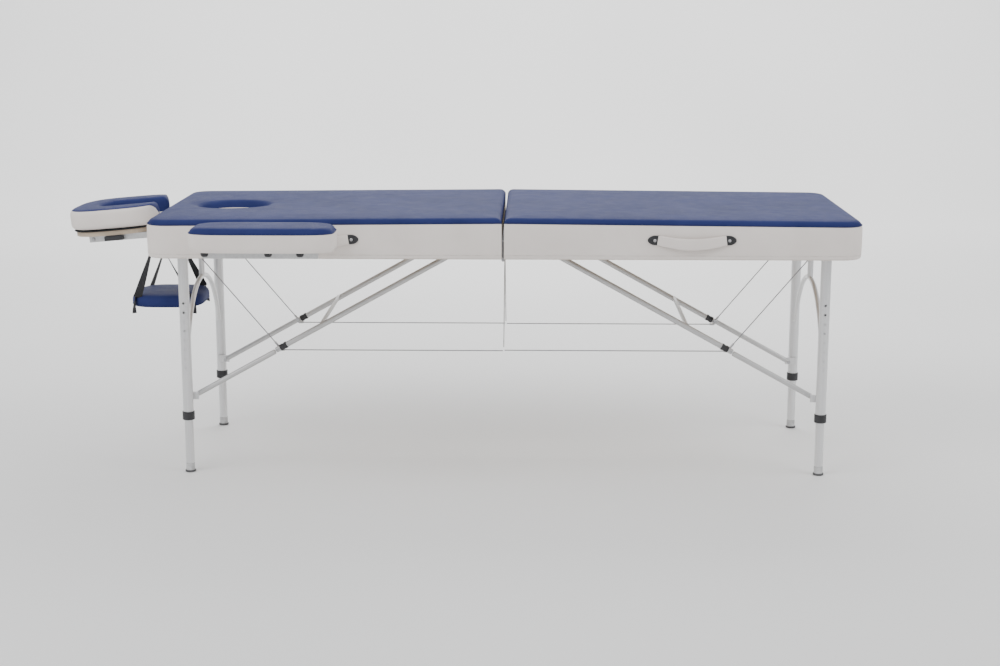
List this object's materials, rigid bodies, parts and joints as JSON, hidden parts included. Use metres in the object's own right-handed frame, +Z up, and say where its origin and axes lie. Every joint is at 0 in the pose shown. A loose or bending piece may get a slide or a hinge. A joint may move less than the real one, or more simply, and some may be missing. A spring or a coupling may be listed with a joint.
{
  "type": "portable massage table",
  "caption": "Two-part folding massage table on telescopic braced legs, with face cradle, side armrest and hanging arm sling.",
  "frame": {"origin": "bottom centre of the bounding box, on the floor", "axes": "+Z up, +X towards the foot end along the table, -Y is the side with the carrying handles"},
  "size_m": [2.1254, 0.815, 0.7123],
  "materials": {
    "upholstery": "soft satin",
    "wood": "plain",
    "black_plastic": "satin",
    "rubber": "matte",
    "steel_cable": "satin",
    "steel": "satin",
    "white_vinyl": "soft satin",
    "webbing": "woven",
    "aluminium": "satin"
  },
  "bodies": {
    "head_half": {"head_cushion": "upholstery", "head_deck_board": "wood", "head_frame": "wood", "head_hinge_leaf": "steel"},
    "hinge_pin": {"centre_hinge_pin": "steel", "centre_elastic_cord": "webbing"},
    "foot_half": {"foot_cushion": "upholstery", "foot_deck_board": "wood", "foot_frame": "wood", "foot_hinge_leaf": "steel"},
    "head_legs": {"head_near_leg_tube": "aluminium", "head_far_leg_tube": "aluminium", "head_near_collar": "black_plastic", "head_far_collar": "black_plastic", "head_leg_arch": "aluminium"},
    "head_struts": {"head_strut_frame": "aluminium"},
    "head_links": {"head_near_link": "aluminium", "head_far_link": "aluminium"},
    "head_main_cables": {"head_near_main_cable": "steel_cable", "head_far_main_cable": "steel_cable"},
    "head_stay_cables": {"head_near_stay_cable": "steel_cable", "head_far_stay_cable": "steel_cable"},
    "head_near_extension": {"head_near_inner_leg": "aluminium", "head_near_rubber_foot": "rubber"},
    "head_near_button": {"head_near_lock_button": "steel"},
    "head_far_extension": {"head_far_inner_leg": "aluminium", "head_far_rubber_foot": "rubber"},
    "head_far_button": {"head_far_lock_button": "steel"},
    "head_handle": {"head_handle_strap": "white_vinyl"},
    "foot_legs": {"foot_near_leg_tube": "aluminium", "foot_far_leg_tube": "aluminium", "foot_near_collar": "black_plastic", "foot_far_collar": "black_plastic", "foot_leg_arch": "aluminium"},
    "foot_struts": {"foot_strut_frame": "aluminium"},
    "foot_links": {"foot_near_link": "aluminium", "foot_far_link": "aluminium"},
    "foot_main_cables": {"foot_near_main_cable": "steel_cable", "foot_far_main_cable": "steel_cable"},
    "foot_stay_cables": {"foot_near_stay_cable": "steel_cable", "foot_far_stay_cable": "steel_cable"},
    "foot_near_extension": {"foot_near_inner_leg": "aluminium", "foot_near_rubber_foot": "rubber"},
    "foot_near_button": {"foot_near_lock_button": "steel"},
    "foot_far_extension": {"foot_far_inner_leg": "aluminium", "foot_far_rubber_foot": "rubber"},
    "foot_far_button": {"foot_far_lock_button": "steel"},
    "foot_handle": {"foot_handle_strap": "white_vinyl"},
    "cradle_mount": {"cradle_rods": "aluminium"},
    "cradle": {"cradle_frame": "aluminium", "cradle_board": "wood", "cradle_cushion": "upholstery"},
    "cradle_lever": {"cradle_lever": "black_plastic"},
    "sling": {"sling_pad": "upholstery", "sling_near_strap": "webbing", "sling_far_strap": "webbing"},
    "armrest": {"armrest_pad": "upholstery", "armrest_board": "wood", "armrest_frame": "aluminium"}
  },
  "joints": [
    {"name": "fold_first_half", "type": "hinge", "parent": "head_half", "child": "hinge_pin", "pos_m": [0.13271, 0.0825, 0.592], "axis": [0, 1, 0], "range_deg": [0, 90]},
    {"name": "fold_second_half", "type": "hinge", "parent": "hinge_pin", "child": "foot_half", "pos_m": [0.13271, 0.0825, 0.592], "axis": [0, 1, 0], "range_deg": [0, 90]},
    {"name": "head_legs_fold", "type": "hinge", "parent": "head_half", "child": "head_legs", "pos_m": [-0.71529, 0.0825, 0.616], "axis": [0, 1, 0], "range_deg": [-90.01, 0]},
    {"name": "head_struts_fold", "type": "hinge", "parent": "head_half", "child": "head_struts", "pos_m": [0.08771, 0.0825, 0.6415], "axis": [0, 1, 0], "range_deg": [0, 27.88]},
    {"name": "head_links_fold", "type": "hinge", "parent": "head_legs", "child": "head_links", "pos_m": [-0.69729, 0.0825, 0.207], "axis": [0, 1, 0], "range_deg": [-62.14, 0]},
    {"name": "head_main_cables_fold", "type": "hinge", "parent": "head_struts", "child": "head_main_cables", "pos_m": [-0.47718, 0.0825, 0.32513], "axis": [0, 1, 0], "range_deg": [-27.88, 0], "deforming": ["head_near_main_cable", "head_far_main_cable"]},
    {"name": "head_stay_cables_fold", "type": "hinge", "parent": "head_half", "child": "head_stay_cables", "pos_m": [-0.73329, 0.0825, 0.645], "axis": [0, 1, 0], "range_deg": [-50.46, 0], "deforming": ["head_near_stay_cable", "head_far_stay_cable"]},
    {"name": "head_near_leg_length", "type": "slide", "parent": "head_legs", "child": "head_near_extension", "axis": [0, 0, -1], "range_m": [-0.075, 0.1]},
    {"name": "head_near_button_press", "type": "slide", "parent": "head_legs", "child": "head_near_button", "axis": [0, 1, 0], "range_m": [0, 0.0025], "stiffness_N_per_m": 250},
    {"name": "head_far_leg_length", "type": "slide", "parent": "head_legs", "child": "head_far_extension", "axis": [0, 0, -1], "range_m": [-0.075, 0.1]},
    {"name": "head_far_button_press", "type": "slide", "parent": "head_legs", "child": "head_far_button", "axis": [0, -1, 0], "range_m": [0, 0.0025], "stiffness_N_per_m": 250},
    {"name": "foot_legs_fold", "type": "hinge", "parent": "foot_half", "child": "foot_legs", "pos_m": [0.98071, 0.0825, 0.616], "axis": [0, 1, 0], "range_deg": [0, 90.01]},
    {"name": "foot_struts_fold", "type": "hinge", "parent": "foot_half", "child": "foot_struts", "pos_m": [0.17771, 0.0825, 0.6415], "axis": [0, 1, 0], "range_deg": [-27.88, 0]},
    {"name": "foot_links_fold", "type": "hinge", "parent": "foot_legs", "child": "foot_links", "pos_m": [0.96271, 0.0825, 0.207], "axis": [0, 1, 0], "range_deg": [0, 62.14]},
    {"name": "foot_main_cables_fold", "type": "hinge", "parent": "foot_struts", "child": "foot_main_cables", "pos_m": [0.7426, 0.0825, 0.32513], "axis": [0, 1, 0], "range_deg": [0, 27.88], "deforming": ["foot_near_main_cable", "foot_far_main_cable"]},
    {"name": "foot_stay_cables_fold", "type": "hinge", "parent": "foot_half", "child": "foot_stay_cables", "pos_m": [0.99871, 0.0825, 0.645], "axis": [0, 1, 0], "range_deg": [0, 50.46], "deforming": ["foot_near_stay_cable", "foot_far_stay_cable"]},
    {"name": "foot_near_leg_length", "type": "slide", "parent": "foot_legs", "child": "foot_near_extension", "axis": [0, 0, -1], "range_m": [-0.075, 0.1]},
    {"name": "foot_near_button_press", "type": "slide", "parent": "foot_legs", "child": "foot_near_button", "axis": [0, 1, 0], "range_m": [0, 0.0025], "stiffness_N_per_m": 250},
    {"name": "foot_far_leg_length", "type": "slide", "parent": "foot_legs", "child": "foot_far_extension", "axis": [0, 0, -1], "range_m": [-0.075, 0.1]},
    {"name": "foot_far_button_press", "type": "slide", "parent": "foot_legs", "child": "foot_far_button", "axis": [0, -1, 0], "range_m": [0, 0.0025], "stiffness_N_per_m": 250},
    {"name": "head_handle_swing", "type": "hinge", "parent": "head_half", "child": "head_handle", "pos_m": [-0.35429, -0.248, 0.6595], "axis": [1, 0, 0], "range_deg": [-12, 0]},
    {"name": "foot_handle_swing", "type": "hinge", "parent": "foot_half", "child": "foot_handle", "pos_m": [0.61971, -0.248, 0.6595], "axis": [1, 0, 0], "range_deg": [-95, 0]},
    {"name": "cradle_pull_out", "type": "slide", "parent": "head_half", "child": "cradle_mount", "axis": [-1, 0, 0], "range_m": [0, 0.2]},
    {"name": "cradle_tilt", "type": "hinge", "parent": "cradle_mount", "child": "cradle", "pos_m": [-0.84229, 0.0825, 0.626], "axis": [0, 1, 0], "range_deg": [-30, 5]},
    {"name": "cradle_lever_turn", "type": "hinge", "parent": "cradle", "child": "cradle_lever", "pos_m": [-0.90224, -0.0535, 0.62276], "axis": [0, -1, 0], "range_deg": [0, 90]},
    {"name": "sling_swing", "type": "hinge", "parent": "cradle_mount", "child": "sling", "pos_m": [-0.81529, 0.0825, 0.626], "axis": [0, 1, 0], "range_deg": [0, 42.01], "deforming": ["sling_near_strap", "sling_far_strap"]},
    {"name": "armrest_pull_out", "type": "slide", "parent": "head_half", "child": "armrest", "axis": [0, -1, 0], "range_m": [0, 0.1]}
  ],
  "couplings": [
    {"joint": "head_legs_fold", "follows": "fold_first_half", "ratio": -1},
    {"joint": "head_struts_fold", "follows": "fold_first_half", "ratio": 0.30971},
    {"joint": "head_links_fold", "follows": "fold_first_half", "ratio": -0.69029},
    {"joint": "head_main_cables_fold", "follows": "fold_first_half", "ratio": -0.30971},
    {"joint": "head_stay_cables_fold", "follows": "fold_first_half", "ratio": -0.56059},
    {"joint": "foot_legs_fold", "follows": "fold_first_half", "ratio": 1},
    {"joint": "foot_struts_fold", "follows": "fold_first_half", "ratio": -0.30971},
    {"joint": "foot_links_fold", "follows": "fold_first_half", "ratio": 0.69029},
    {"joint": "foot_main_cables_fold", "follows": "fold_first_half", "ratio": 0.30971},
    {"joint": "foot_stay_cables_fold", "follows": "fold_first_half", "ratio": 0.56059},
    {"joint": "sling_swing", "follows": "fold_second_half", "ratio": 0.46667}
  ]
}
